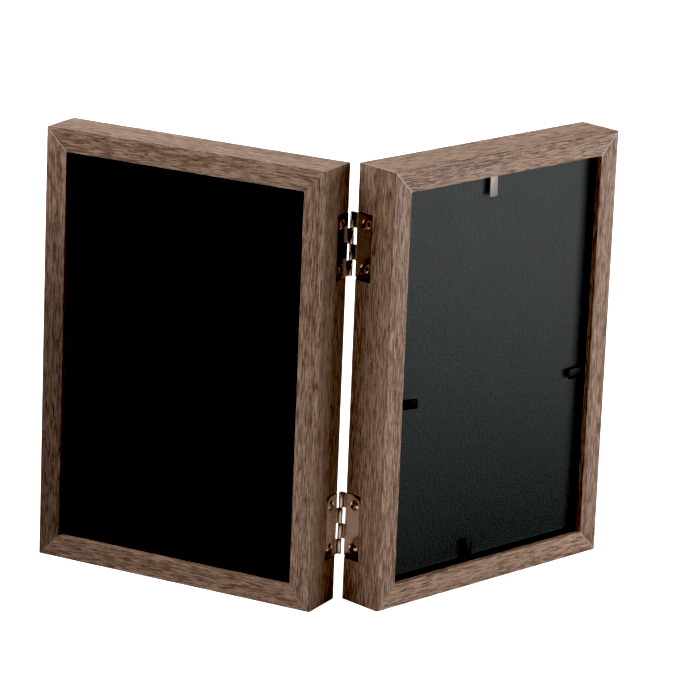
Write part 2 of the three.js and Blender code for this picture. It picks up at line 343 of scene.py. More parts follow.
def end_tree(recipe, result, geometry, material):
    """Ends a tree with real geometry that wears a material."""
    real = recipe.node("GeometryNodeRealizeInstances", {}, {"Geometry": geometry})
    inputs = {"Geometry": real, "Material": material}
    painted = recipe.node("GeometryNodeSetMaterial", {}, inputs)
    recipe.feed(result.inputs["Geometry"], painted)


def grow(name, tree, values, points=()):
    """Runs a tree with these inputs, on these points, and returns a plain mesh."""
    mesh = bpy.data.meshes.new(name)
    mesh.from_pydata(points, [], [])
    piece = new_piece(name, mesh)
    modifier = piece.modifiers.new("tree", "NODES")
    modifier.node_group = tree
    for item in tree.interface.items_tree:
        if item.in_out == "INPUT" and item.name in values:
            modifier[item.identifier] = values[item.name]
    return settle(piece)


# %% [markdown]
# ## Finish: walnut-grain wrap
# The sticks are fibreboard wrapped in printed foil. A print could be an image, but noise stretched
# along the stick gives the same thing at any zoom: broad tone bands, fine streaks, and short dark
# pores that wander a little. The pattern reads an attribute that says how far across, back and
# along its own stick each point lies, so the grain turns with the stick at every mitre.
# Where the foil was cut at the mitres a hair of pale board shows, and a second attribute says how
# far each point is from that cut. The foil is folded a little way into the rebate, and deeper in
# the rebate the wall is coloured near black.

# %% Material starter
def new_material(name):
    """A material's recipe and its main shader."""
    material = bpy.data.materials.new(name)
    material.use_nodes = True
    return material, Recipe(material.node_tree), material.node_tree.nodes["Principled BSDF"]


def noise(recipe, vector, scale=1.0, detail=2.0, roughness=0.5):
    inputs = {"Vector": vector, "Scale": scale, "Detail": detail, "Roughness": roughness}
    return recipe.node("ShaderNodeTexNoise", {}, inputs, "Fac")


def fade(recipe, value, start, end):
    """0 before start and 1 after end, with a smooth step between; start may be above end."""
    low, high = min(start, end), max(start, end)
    settings = {"interpolation_type": "SMOOTHSTEP"}
    step = recipe.node("ShaderNodeMapRange", settings, {"Value": value, 1: low, 2: high}, "Result")
    return step if start < end else 1 - step


def mix(recipe, share, one, other):
    """One colour where share is 0, the other where it is 1."""
    inputs = {0: share, 6: one, 7: other}
    return recipe.node("ShaderNodeMix", {"data_type": "RGBA"}, inputs, 2)


def grey(value):
    return (value, value, value, 1)


def bump(recipe, shader, height, distance):
    """Raises the surface by height times distance, in metres."""
    inputs = {"Height": height, "Distance": distance, "Strength": 1.0}
    recipe.feed(shader.inputs["Normal"], recipe.node("ShaderNodeBump", {}, inputs, "Normal"))


def object_place(recipe, scale):
    """A point's own place in the piece, with the scale in repeats for each metre."""
    place = recipe.node("ShaderNodeTexCoord", {}, {}, "Object")
    inputs = {"Vector": place, "Scale": (scale, scale, scale)}
    return recipe.node("ShaderNodeMapping", {}, inputs, "Vector")


# %% Walnut wrap
PALE_FIGURE = (0.395, 0.26, 0.19, 1)
BROWN_FIGURE = (0.168, 0.095, 0.065, 1)
PORE_BROWN = (0.05, 0.025, 0.015, 1)
DEEP_REBATE_TONE = (0.010, 0.007, 0.005, 1)
TURN_IN = 2.5  # mm of wrap that is folded round the back edge into the rebate
BARE_EDGE = (0.50, 0.46, 0.43, 1)


def walnut_wrap():
    material, recipe, shader = new_material("walnut wrap")
    grain = recipe.node("ShaderNodeAttribute", {"attribute_name": "grain"}, {}, "Vector")
    across, back, along = recipe.parts(grain)
    wander = noise(recipe, recipe.vector(across * 0.06, back * 0.06, along * 0.05), detail=1.0) - 0.5
    jitter = noise(recipe, recipe.vector(across * 0.3, back * 0.3, along * 0.35), detail=1.0) - 0.5
    drift = wander * 1.1 + jitter * 0.35
    wide = across + drift
    deep = back + drift
    bands = noise(recipe, recipe.vector(wide * 0.34, deep * 0.34, along * 0.008), detail=2.0)
    streaks = noise(recipe, recipe.vector(wide * 1.9, deep * 1.9, along * 0.15), detail=3.0)
    pores = noise(recipe, recipe.vector(wide * 3.0, deep * 3.0, along * 0.22), detail=2.0)
    ticks = noise(recipe, recipe.vector(wide * 5.0, deep * 5.0, along * 0.7), detail=1.0)
    figure = fade(recipe, bands * 0.25 + streaks * 0.75, 0.40, 0.59)
    tone = mix(recipe, figure, BROWN_FIGURE, PALE_FIGURE)
    hollow = fade(recipe, pores * 0.72 + ticks * 0.28, 0.51, 0.62)
    tone = mix(recipe, hollow * 0.68, tone, PORE_BROWN)
    glint = fade(recipe, pores * 0.6 + ticks * 0.4, 0.43, 0.32)
    tone = mix(recipe, glint * 0.35, tone, (0.48, 0.36, 0.28, 1))

    seams = recipe.node("ShaderNodeAttribute", {"attribute_name": "seams"}, {}, "Vector")
    first_cut, last_cut, bareness = recipe.parts(seams)
    ragged = noise(recipe, grain, 1.6, 2.0)
    to_cut = recipe.less(first_cut, last_cut) + (ragged - 0.5) * 0.15
    strength = fade(recipe, bareness + (ragged - 0.5) * 0.6, 0.35, 0.9)
    bare = fade(recipe, to_cut, 0.24, 0.12) * strength
    tone = mix(recipe, bare, tone, BARE_EDGE)
    crease = recipe.node("ShaderNodeAttribute", {"attribute_name": "crease"}, {}, "Fac")
    worn = noise(recipe, recipe.vector(0.0, 0.0, along * 0.5), detail=2.0)
    dark = crease * fade(recipe, worn, 0.36, 0.62)
    tone = mix(recipe, dark, tone, PORE_BROWN)
    # Painted light and shade: the wrap's colour is scaled for each stick and along it, darker or
    # lighter as its faces are lit, with some of the print's own tone.
    shade_and_print = recipe.node("ShaderNodeAttribute", {"attribute_name": "print_tone"}, {}, "Vector")
    first_tone, last_tone, share = recipe.parts(shade_and_print)
    shade_and_print_strength = first_tone + (last_tone - first_tone) * fade(recipe, share, 0.5, 1.0)
    inputs = {"Vector": tone, "Scale": shade_and_print_strength}
    tone = recipe.node("ShaderNodeVectorMath", {"operation": "SCALE"}, inputs, "Vector")
    # Darker deeper in the rebate: past TURN_IN from the back edge, the rebate's wall is near black.
    rim = depth / MM - TURN_IN
    deep_in_rebate = fade(recipe, back + (ragged - 0.5) * 0.5, rim + 0.1, rim - 0.1)
    behind_lip = (across > wall / MM - 0.05) * (back > lip_thickness / MM - 0.1)
    tone = mix(recipe, behind_lip * deep_in_rebate, tone, DEEP_REBATE_TONE)

    recipe.feed(shader.inputs["Base Color"], tone)
    recipe.feed(shader.inputs["Roughness"], 0.44 + hollow * 0.2 + streaks * 0.08)
    shader.inputs["Specular IOR Level"].default_value = 0.35
    bump(recipe, shader, 1 - hollow + streaks * 0.4, 0.03 * MM)
    return material


def fibreboard_in_shade():
    """The bare board inside the mortises and slots, coloured near black as painted shade."""
    material, recipe, shader = new_material("raw fibreboard")
    fibres = noise(recipe, object_place(recipe, 2600), 1.0, 3.0)
    # Painted shade: the board is kept near black where it shows in these shallow hollows.
    tone = mix(recipe, fibres, (0.012, 0.008, 0.006, 1), (0.05, 0.034, 0.024, 1))
    recipe.feed(shader.inputs["Base Color"], tone)
    recipe.feed(shader.inputs["Roughness"], 0.8 + fibres * 0.15)
    bump(recipe, shader, fibres, 0.05 * MM)
    return material


walnut = walnut_wrap()
fibreboard = fibreboard_in_shade()
print("materials:", walnut.name, "and", fibreboard.name)

# %% [markdown]
# ## The sticks of moulding
# The real sticks are sawn from one long wrapped moulding: an L in section, with a thin lip in front
# of the rebate, mitred at both ends. That is a rule, so a geometry tree follows it: draw the L,
# round its corners, fill it, push it out to the stick's length, and slide each end by as much as
# the point lies in from the outer face. A slide of one to one is a mitre of 45 degrees.

# %% The moulding tree
EDGE_RADIUS = 0.35 * MM
GLUE_LINE = 0.03 * MM


def moulding_tree():
    sizes = ["Length", "Wall", "Lip Reach", "Depth", "Lip Thickness", "Edge Radius", "Glue Line"]
    sockets = {name: "Float" for name in sizes}
    recipe, size, result = start_tree("mitred stick", {**sockets, "Material": "Material"})
    corners = [
        (0.0, 0.0),
        (size["Lip Reach"], 0.0),
        (size["Lip Reach"], size["Lip Thickness"]),
        (size["Wall"], size["Lip Thickness"]),
        (size["Wall"], size["Depth"]),
        (0.0, size["Depth"]),
    ]
    places = {1 + number: recipe.vector(x, y, 0.0) for number, (x, y) in enumerate(corners)}
    index = recipe.node("GeometryNodeInputIndex")
    settings = {"data_type": "VECTOR", "items": len(corners)}
    corner = recipe.node("GeometryNodeIndexSwitch", settings, {"Index": index, **places})
    line = recipe.node("GeometryNodeMeshLine", {}, {"Count": len(corners)})
    line = recipe.node("GeometryNodeSetPosition", {}, {"Geometry": line, "Position": corner})
    curve = recipe.node("GeometryNodeMeshToCurve", {}, {"Mesh": line})
    inputs = {"Geometry": curve, "Cyclic": True}
    outline = recipe.node("GeometryNodeSetSplineCyclic", {}, inputs)
    inputs = {"Curve": outline, "Count": 4, "Radius": size["Edge Radius"], "Limit Radius": True}
    outline = recipe.node("GeometryNodeFilletCurve", {"mode": "POLY"}, inputs)
    end = recipe.node("GeometryNodeFillCurve", {"mode": "NGONS"}, {"Curve": outline})
    inputs = {"Mesh": end, "Offset Scale": size["Length"], "Individual": False}
    body = recipe.node("GeometryNodeExtrudeMesh", {"mode": "FACES"}, inputs)
    start = recipe.node("GeometryNodeFlipFaces", {}, {"Mesh": end})
    whole = recipe.node("GeometryNodeJoinGeometry")
    recipe.feed(whole.socket.node.inputs["Geometry"], body, start)
    inputs = {"Geometry": whole, "Distance": 0.1 * HAIR}
    whole = recipe.node("GeometryNodeMergeByDistance", {}, inputs)
    x, _, z = recipe.parts(recipe.node("GeometryNodeInputPosition"))
    slide = x + size["Glue Line"] * MITRE
    which_end = 1 - 2 * (z > size["Length"] * 0.5)
    inputs = {"Geometry": whole, "Offset": recipe.vector(0.0, 0.0, slide * which_end)}
    end_tree(recipe, result, recipe.node("GeometryNodeSetPosition", {}, inputs), size["Material"])
    return recipe.tree


mitred_stick = moulding_tree()
print("the moulding tree has", len(mitred_stick.nodes), "nodes")

# %% [markdown]
# ## What is cut out of the sticks
# A hinge plate lies in a shallow mortise, and the tabs, V-nails and screws each have a pocket. The
# mortise is a box a little larger than its plate. Each pocket is a copy of the CAD piece that goes
# in it, swollen by a hair, so that every piece fits its own hole. The cutters wear a near-black
# board material, painted shade for these hollows, and the Boolean carries that over to the faces
# it makes.

# %% Cutters
MORTISE_SPARE = {"floor": 0.05 * MM, "behind": 0.3 * MM, "above": 0.4 * MM}
BELOW_PLATE = {"left": 0.1 * MM, "right": 0.9 * MM}
POCKET_SPARE = 0.1 * MM
CORNERS = {
    "hinge_side": ("hinge_bottom", "hinge_top"),
    "outer_side": ("outer_bottom", "outer_top"),
    "bottom": ("hinge_bottom", "outer_bottom"),
    "top": ("hinge_top", "outer_top"),
}
HEIGHTS = ("lower", "upper")
SCREWS = [f"{place}_hinge_screw_{end}" for place in HEIGHTS for end in HEIGHTS]


def box_piece(name, low, high):
    work = bmesh.new()
    middle = (low + high) / 2
    size = high - low
    grown = Matrix.Translation(middle) @ Matrix.Diagonal((size.x, size.y, size.z, 1))
    bmesh.ops.create_cube(work, size=1, matrix=grown)
    mesh = bpy.data.meshes.new(name)
    work.to_mesh(mesh)
    work.free()
    return new_piece(name, mesh)


def mortise_cutter(side, place):
    """A box round one hinge plate, open towards the display face and the hinge side."""
    plate_low, plate_high = box_in(leaf_matrix(side), f"{side}_{place}_hinge_plate")
    past = 1 * MM
    low = Vector((leaf_low.x - past, leaf_low.y - past, plate_low.z - BELOW_PLATE[side]))
    high = plate_high + Vector(
        (MORTISE_SPARE["floor"], MORTISE_SPARE["behind"], MORTISE_SPARE["above"])
    )
    return carry(box_piece("mortise", low, high), leaf_matrix(side))


def cutters_for(side, stick):
    inside = [f"tab_shank_{stick}"] + [f"v_nail_{corner}" for corner in CORNERS[stick]]
    mortises = []
    if stick == "hinge_side":
        inside += SCREWS
        mortises = [mortise_cutter(side, place) for place in HEIGHTS]
    return mortises + [solid_copy("pocket", f"{side}_{name}", POCKET_SPARE) for name in inside]


def cut(piece, cutters):
    """Takes the cutters out of a piece, and removes them."""
    for cutter in cutters:
        boolean = piece.modifiers.new("cut", "BOOLEAN")
        boolean.operation = "DIFFERENCE"
        boolean.solver = "EXACT"
        boolean.material_mode = "TRANSFER"
        boolean.object = cutter
    settle(piece)
    for cutter in cutters:
        bpy.data.objects.remove(cutter)
    return drop_empty_slots(piece)


# %% [markdown]
# ## Telling the wrap where it is
# After the cuts, every point of a stick gets its place in stick space, in millimetres, with a
# different start along the print for each stick. It also gets its distance from both mitres, how
# bare that mitre is, how strongly the foil is creased over the back outer edge, and how much
# painted light and shade its face gets.

# %% Attributes and the eight sticks
BARE_MITRES = {
    "left": {"hinge_bottom": 0.3, "hinge_top": 0.35, "outer_bottom": 0.3, "outer_top": 0.75},
    "right": {"hinge_bottom": 0.3, "hinge_top": 0.95, "outer_bottom": 0.7, "outer_top": 0.85},
}
CREASES = {"hinge_side": 0.15, "outer_side": 0.1, "bottom": 0.2, "top": 1.0}
# Painted light and shade on each stick, with some of its own print tone: how dark or light it
# is on its side faces, then at the two ends of its other faces.
PRINT_AND_SHADE_TONES = {
    "left": {
        "hinge_side": (0.68, 1.0, 1.1),
        "outer_side": (0.43, 0.43, 1.06),
        "bottom": (1.05, 1.05, 0.85),
        "top": (1.03, 1.08, 1.14),
    },
    "right": {
        "hinge_side": (1.1, 1.04, 1.0),
        "outer_side": (0.95, 0.95, 0.95),
        "bottom": (1.0, 1.05, 1.2),
        "top": (1.02, 1.0, 0.95),
    },
}
PRINT_STEP = 437.0  # how far along the print each stick starts after the one before it


def write_vectors(mesh, name, values):
    made = mesh.attributes.new(name, "FLOAT_VECTOR", "POINT")
    made.data.foreach_set("vector", [number for value in values for number in value])


def write_numbers(mesh, name, values):
    made = mesh.attributes.new(name, "FLOAT", "POINT")
    made.data.foreach_set("value", values)


def mark_stick(piece, side, stick, number):
    """Writes the attributes that the walnut wrap reads."""
    back = stick_matrix(side, stick).inverted()
    places = [(back @ vertex.co) / MM for vertex in piece.data.vertices]
    length = stick_length(stick) / MM
    first, last = (BARE_MITRES[side][corner] for corner in CORNERS[stick])
    grain = [(p.x, p.y, p.z + number * PRINT_STEP) for p in places]
    seams = [
        ((p.z - p.x) * MITRE, (length - p.z - p.x) * MITRE, first if p.z < length / 2 else last)
        for p in places
    ]
    radius = EDGE_RADIUS / MM
    to_edge = [math.hypot(p.x, depth / MM - p.y) for p in places]
    crease = [CREASES[stick] * min(1.0, max(0.0, 2.2 * (1 - gap / radius))) for gap in to_edge]
    side_tone, first_tone, last_tone = PRINT_AND_SHADE_TONES[side][stick]
    faces_sideways = [p.x < 0.01 or p.x > wall / MM - 0.01 for p in places]
    tones = [
        (side_tone, side_tone, 0) if sideways else (first_tone, last_tone, p.z / length)
        for p, sideways in zip(places, faces_sideways)
    ]
    write_vectors(piece.data, "grain", grain)
    write_vectors(piece.data, "seams", seams)
    write_vectors(piece.data, "print_tone", tones)
    write_numbers(piece.data, "crease", crease)


sizes = {
    "Wall": wall,
    "Lip Reach": lip_reach,
    "Depth": depth,
    "Lip Thickness": lip_thickness,
    "Edge Radius": EDGE_RADIUS,
    "Glue Line": GLUE_LINE,
    "Material": walnut,
}
for side in SIDES:
    for number, stick in enumerate(STICKS):
        name = f"{side}_{stick}_moulding"
        piece = grow(name, mitred_stick, {**sizes, "Length": stick_length(stick)})
        carry(piece, stick_matrix(side, stick))
        cutters = [paint(cutter, fibreboard) for cutter in cutters_for(side, stick)]
        cut(piece, cutters)
        shade(piece)
        level_faces(piece)
        mark_stick(piece, side, stick, number + 4 * (side == "right"))
        hand_over(piece, f"{side}_leaf", "walnut_wrap", f"{side}_stick_{stick}")
        print(name, "faces:", len(piece.data.polygons), [m.name for m in piece.data.materials])

# %% [markdown]
# ## V-nails
# A bent steel strip is pressed across each mitre. It is buried in the wood, so the CAD solid's
# shape is enough, and only needs a finish: rolled steel, with fine lines along it.

# %% Plain steel on the V-nails
def rolled_steel():
    material, recipe, shader = new_material("rolled steel")
    lines = noise(recipe, object_place(recipe, 900), 1.0, 4.0)
    recipe.feed(shader.inputs["Base Color"], mix(recipe, lines, grey(0.30), grey(0.50)))
    shader.inputs["Metallic"].default_value = 1.0
    recipe.feed(shader.inputs["Roughness"], 0.3 + lines * 0.25)
    bump(recipe, shader, lines, 0.01 * MM)
    return material


steel = rolled_steel()
v_nails = [name for name in nodes if "_v_nail_" in name]
for name in v_nails:
    paint(nodes[name], steel)
print("V-nails painted:", len(v_nails))

# %% [markdown]
# ## The backing boards
# Each board is stiff card faced with black paper, whose surface is pressed into fine irregular
# pebbles. The pebbles are too small to model, so they are a bump: noise whose hollows are wide
# and whose tops are round. The paper is satin, so it catches a soft sheen from one side.

# %% Black pebbled paper and the boards
def pebbled_paper():
    material, recipe, shader = new_material("black pebbled paper")
    place = object_place(recipe, 1000)
    pebbles = noise(recipe, place, 1.3, 2.0, 0.55)
    cloud = noise(recipe, place, 0.12, 2.0)
    relief = fade(recipe, pebbles, 0.34, 0.66)
    tone = mix(recipe, relief * 0.6 + cloud * 0.4, grey(0.011), (0.018, 0.0195, 0.0195, 1))
    recipe.feed(shader.inputs["Base Color"], tone)
    recipe.feed(shader.inputs["Roughness"], 0.445 - relief * 0.06 + cloud * 0.06)
    shader.inputs["Specular IOR Level"].default_value = 0.5
    bump(recipe, shader, relief + pebbles, 0.022 * MM)
    return material


paper = pebbled_paper()
for side in SIDES:
    board = solid_copy(f"{side}_back_board", f"{side}_backing_board")
    round_edges(board, 0.3 * MM, 3)
    level_faces(board)
    paint(board, paper)
    hand_over(board, f"{side}_leaf", "black_board", f"{side}_backing_board")
    print(board.name, "faces:", len(board.data.polygons))

# %% [markdown]
# ## Card and glass
# The insert card is plain uncoated card with a trace of fibre. The pane in front of it is float
# glass with its edges taken off. Glass that refracts would put the card in a false shadow, so the
# pane is clear, with mirror-like gloss that grows towards grazing angles, as Fresnel says.

# %% Insert cards
def plain_card():
    material, recipe, shader = new_material("insert card")
    place = object_place(recipe, 1000)
    fibres = noise(recipe, place, 3.5, 4.0, 0.6)
    cloud = noise(recipe, place, 0.08, 2.0)
    tone = mix(recipe, fibres * 0.5 + cloud * 0.5, (0.74, 0.71, 0.64, 1), (0.86, 0.83, 0.77, 1))
    recipe.feed(shader.inputs["Base Color"], tone)
    recipe.feed(shader.inputs["Roughness"], 0.78 + fibres * 0.14)
    bump(recipe, shader, fibres, 0.012 * MM)
    return material


card_paper = plain_card()
for side in SIDES:
    card = solid_copy(f"{side}_insert_card", f"{side}_card")
    round_edges(card, 0.05 * MM)
    paint(card, card_paper)
    hand_over(card, f"{side}_leaf", "insert_card", f"{side}_card")
print("insert cards made")

# %% Panes
def float_glass():
    material, recipe, shader = new_material("float glass")
    haze = noise(recipe, object_place(recipe, 30), 1.0, 3.0)
    shader.inputs["Base Color"].default_value = (0.95, 0.97, 0.96, 1)
    shader.inputs["Metallic"].default_value = 1.0
    recipe.feed(shader.inputs["Roughness"], 0.02 + haze * 0.04)
    clear = recipe.node("ShaderNodeBsdfTransparent", {}, {"Color": (0.955, 0.975, 0.968, 1)})
    gloss = recipe.node("ShaderNodeFresnel", {}, {"IOR": 1.5})
    shares = {0: gloss, 1: clear, 2: Wire(recipe, shader.outputs["BSDF"])}
    glass = recipe.node("ShaderNodeMixShader", {}, shares)
    output = recipe.tree.nodes["Material Output"]
    recipe.feed(output.inputs["Surface"], glass)
    return material


glass = float_glass()
for side in SIDES:
    pane = solid_copy(f"{side}_pane", f"{side}_glass_pane")
    round_edges(pane, 0.25 * MM)
    level_faces(pane)
    paint(pane, glass)
    hand_over(pane, f"{side}_leaf", "clear_glass", f"{side}_glass_pane")
print("panes made")

# %% [markdown]
# ## The tabs
# A tab is one strip of spring steel: a pointed shank driven into the wall of the rebate, and a
# blade that is bent over the board. In CAD the blade is its own body, hinged where the strip
# bends. Each blade's lift at rest comes from its joint: every blade stops at the same angle, so
# the one that is already lifted has less of its travel left.

# %% Steel for the tabs
def oxide_steel():
    material, recipe, shader = new_material("black oxide steel")
    patches = noise(recipe, object_place(recipe, 700), 1.0, 3.0)
    tone = mix(recipe, patches, (0.004, 0.0035, 0.003, 1), (0.022, 0.019, 0.016, 1))
    recipe.feed(shader.inputs["Base Color"], tone)
    shader.inputs["Specular IOR Level"].default_value = 0.25
    recipe.feed(shader.inputs["Roughness"], 0.45 + patches * 0.2)
    bump(recipe, shader, patches, 0.008 * MM)
    return material


# Painted sheen: a paler, more metallic tab steel stands in for the light that one tab catches.
def tab_steel_with_painted_sheen():
    material, recipe, shader = new_material("rubbed steel")
    x, y, z = recipe.parts(object_place(recipe, 1000))
    lines = noise(recipe, recipe.vector(x * 6, y * 6, z * 0.7), 1.0, 3.0)
    tone = mix(recipe, lines, (0.26, 0.225, 0.20, 1), (0.42, 0.365, 0.33, 1))
    recipe.feed(shader.inputs["Base Color"], tone)
    shader.inputs["Metallic"].default_value = 0.75
    recipe.feed(shader.inputs["Roughness"], 0.42 + lines * 0.2)
    bump(recipe, shader, lines, 0.01 * MM)
    return material


tab_steels = {"black_steel": oxide_steel(), "bright_steel": tab_steel_with_painted_sheen()}
print("tab finishes:", list(tab_steels))

# %% The strip
BLADE_STOP = 75.0  # degrees from the board to a blade that is bent right back
BEND = {"line": 0.3 * MM, "half": 0.25 * MM, "cuts": 8}
TIP_RADIUS = 0.8 * MM
SHANK_POINT = 2.2 * MM
BRIGHT_TAB = ("right", "top")


def arc(centre, radius, start, end, steps):
    """Points on an arc, from one angle to another, in degrees."""
    turns = [math.radians(start + (end - start) * step / steps) for step in range(steps + 1)]
    return [(centre[0] + radius * math.cos(t), centre[1] + radius * math.sin(t)) for t in turns]


def strip_faces(width, reach, shank):
    """The flat strip's faces, as lists of (in from the wall, along the stick)."""
    half = width / 2
    first = BEND["line"] - BEND["half"]
    step = 2 * BEND["half"] / BEND["cuts"]
    cuts = [first + number * step for number in range(BEND["cuts"] + 1)]
    shoulder = SHANK_POINT - shank
    point = [(first, 0), (first, half), (shoulder, half), (-shank, 0)]
    faces = [point, mirror(point)]
    for near, far in zip(cuts, cuts[1:]):
        quad = [(near, 0), (far, 0), (far, half), (near, half)]
        faces += [quad, mirror(quad)]
    corner = arc((reach - TIP_RADIUS, half - TIP_RADIUS), TIP_RADIUS, 0, 90, 8)
    blade = [(cuts[-1], 0), (reach, 0), *corner, (cuts[-1], half)]
    return faces + [blade, mirror(blade)]


def mirror(outline):
    return [(x, -y) for x, y in reversed(outline)]


def lifted(x, z, lift):
    """Where a point of the flat strip goes when the blade is bent up by lift."""
    share = min(1.0, max(0.0, (x - BEND["line"]) / (2 * BEND["half"]) + 0.5))
    turn = lift * share * share * (3 - 2 * share)
    out = x - BEND["line"]
    return (
        BEND["line"] + out * math.cos(turn) - z * math.sin(turn),
        out * math.sin(turn) + z * math.cos(turn),
    )


def strip_piece(name, width, reach, shank, thickness, lift):
    """A tab in its own space: x in from the rebate's wall, y back, z along the stick."""
    work = bmesh.new()
    for outline in strip_faces(width, reach, shank):
        work.faces.new([work.verts.new((x, -thickness / 2, y)) for x, y in outline])
    bmesh.ops.remove_doubles(work, verts=work.verts, dist=HAIR)
    grown = bmesh.ops.extrude_face_region(work, geom=work.faces[:])
    raised = [item for item in grown["geom"] if isinstance(item, bmesh.types.BMVert)]
    bmesh.ops.translate(work, verts=raised, vec=(0, thickness, 0))
    bmesh.ops.recalc_face_normals(work, faces=work.faces[:])
    for vertex in work.verts:
        vertex.co.x, vertex.co.y = lifted(vertex.co.x, vertex.co.y, lift)
    mesh = bpy.data.meshes.new(name)
    work.to_mesh(mesh)
    work.free()
    return round_edges(new_piece(name, mesh), 0.06 * MM, 2, 50)


# %% The eight tabs
def make_tab(side, stick):
    to_model = stick_matrix(side, stick)
    shank_low, shank_high = box_in(to_model, f"{side}_tab_shank_{stick}")
    joint = joints[f"{side}_{stick}_tab_bend"]
    lift = math.radians(BLADE_STOP - joint["range_deg"][1])
    seat = Vector((wall, (shank_low.y + shank_high.y) / 2, (shank_low.z + shank_high.z) / 2))
    width = shank_high.z - shank_low.z
    thickness = shank_high.y - shank_low.y
    _, blade_high = box_in(to_model, f"{side}_tab_{stick}")
    reach = BEND["line"] + (blade_high.x - wall - BEND["line"]) / math.cos(lift)
    name = f"{side}_{stick}_bent_tab"
    piece = strip_piece(name, width, reach, wall - shank_low.x, thickness, lift)
    tab_space = to_model @ Matrix.Translation(seat)
    carry(piece, tab_space)
    # Painted sheen: the bright tab wears the paler steel in place of the black oxide.
    finish = "bright_steel" if (side, stick) == BRIGHT_TAB else "black_steel"
    paint(piece, tab_steels[finish])
    start = tab_space @ Vector((BEND["line"] - BEND["half"], 0, 0))
    end = tab_space @ Vector((BEND["line"] + BEND["half"], 0, 0))
    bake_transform(piece)
    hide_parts(f"{side}_tab_{stick}", f"{side}_tab_shank_{stick}")
    return piece


tabs = [make_tab(side, stick) for side in SIDES for stick in STICKS]
print("tabs:", len(tabs), "faces each:", len(tabs[0].data.polygons))

# %% [markdown]
# ## Hinges
# The plates are stamped and curled sheet in polished antique nickel, a warm grey that is mirror
# bright on the rounded knuckles. Their shape is right in CAD, so each is a copy with its edges
# broken, as tumbling leaves them. Faint smudges in the roughness keep the polish from looking new.

# %% Antique nickel, plates and pins
def antique_nickel(name, pale, deep):
    material, recipe, shader = new_material(name)
    place = object_place(recipe, 1000)
    smudge = noise(recipe, place, 0.35, 3.0)
    specks = noise(recipe, place, 5.0, 2.0)
    recipe.feed(shader.inputs["Base Color"], mix(recipe, smudge, deep, pale))
    shader.inputs["Metallic"].default_value = 1.0
    recipe.feed(shader.inputs["Roughness"], 0.13 + smudge * 0.14 + specks * 0.05)
    bump(recipe, shader, specks, 0.003 * MM)
    return material


nickel = antique_nickel("antique nickel", (0.60, 0.49, 0.42, 1), (0.46, 0.36, 0.30, 1))
for place in HEIGHTS:
    for side in SIDES:
        plate = solid_copy(f"{side}_{place}_hinge_leaf", f"{side}_{place}_hinge_plate")
        round_edges(plate, 0.07 * MM)
        level_faces(plate)
        paint(plate, nickel)
        hand_over(plate, f"{side}_leaf", "hinge_metal", f"{side}_{place}_hinge_plate")
    pin = solid_copy(f"{place}_hinge_rod", f"{place}_hinge_pin")
    round_edges(pin, 0.05 * MM)
    paint(pin, nickel)
    hand_over(pin, "left_leaf", "hinge_metal", f"{place}_hinge_pin")
    print(place, "hinge: plate faces", len(plate.data.polygons))

# %% [markdown]
# ## Screws
# Each plate is held by two small oval-head screws. One screw is turned on a lathe, so it is a
# spun outline, with a tapered cross driven into its head. A geometry tree then sets it on the four
# screw places of each leaf. Nobody lines the slots up, so the tree turns each one by a seeded
# random angle.

# %% One screw
SCREW_TURNS = 40
CROSS = {"length": 2.3 * MM, "width": 0.5 * MM, "deep": 0.55 * MM}
CONE_DEPTH = 1.1 * MM
RIM = {"sunk": 0.3 * MM, "narrower": 0.93}  # the head's edge lies a little inside its countersink
HEAD_EDGE = 0.4 * MM  # from the plate's back up to the edge of the head
SHANK_RADIUS = 0.9 * MM
THREAD_PITCH = 0.8 * MM
POINT_LENGTH = 2.5 * MM


def screw_outline(head_radius, dome, length):
    """(along the axis, out from it), from the top of the dome to the point."""
    shares = [0.0, 0.25, 0.5, 0.7, 0.85, 0.95, 1.0]
    rim = head_radius * RIM["narrower"]
    crown = [((dome + RIM["sunk"]) * share**2 - dome, rim * share) for share in shares]
    ribs = []
    place = CONE_DEPTH + 0.6 * MM
    while place < length - POINT_LENGTH:
        ribs += [(place, SHANK_RADIUS * 0.86), (place + THREAD_PITCH / 2, SHANK_RADIUS)]
        place += THREAD_PITCH
    shank = [(CONE_DEPTH, SHANK_RADIUS * 0.86), *ribs, (length - POINT_LENGTH, SHANK_RADIUS * 0.8)]
    return [*crown, *shank, (length, 0.0)]


def screw_piece(head_radius, dome, length):
    work = bmesh.new()
    outline = [work.verts.new((x, y, 0)) for x, y in screw_outline(head_radius, dome, length)]
    edges = [work.edges.new(pair) for pair in zip(outline, outline[1:])]
    turn = {"cent": (0, 0, 0), "axis": (1, 0, 0), "angle": math.tau, "steps": SCREW_TURNS}
    bmesh.ops.spin(work, geom=outline + edges, **turn)
    bmesh.ops.remove_doubles(work, verts=work.verts, dist=0.1 * HAIR)
    bmesh.ops.recalc_face_normals(work, faces=work.faces[:])
    mesh = bpy.data.meshes.new("screw")
    work.to_mesh(mesh)
    work.free()
    return new_piece("screw", mesh)


def cross_wing(dome, across):
    """One wing of the driver's cross, narrower and shorter at its bottom."""
    low = Vector((-dome - 1 * MM, -CROSS["length"] / 2, -CROSS["width"] / 2))
    high = Vector((-dome + CROSS["deep"], CROSS["length"] / 2, CROSS["width"] / 2))
    wing = box_piece("wing", low, high)
    for vertex in wing.data.vertices:
        if vertex.co.x > -dome:
            vertex.co.y *= 0.45
            vertex.co.z *= 0.7
    if across:
        wing.data.transform(Matrix.Rotation(math.pi / 2, 4, "X"))
    return wing


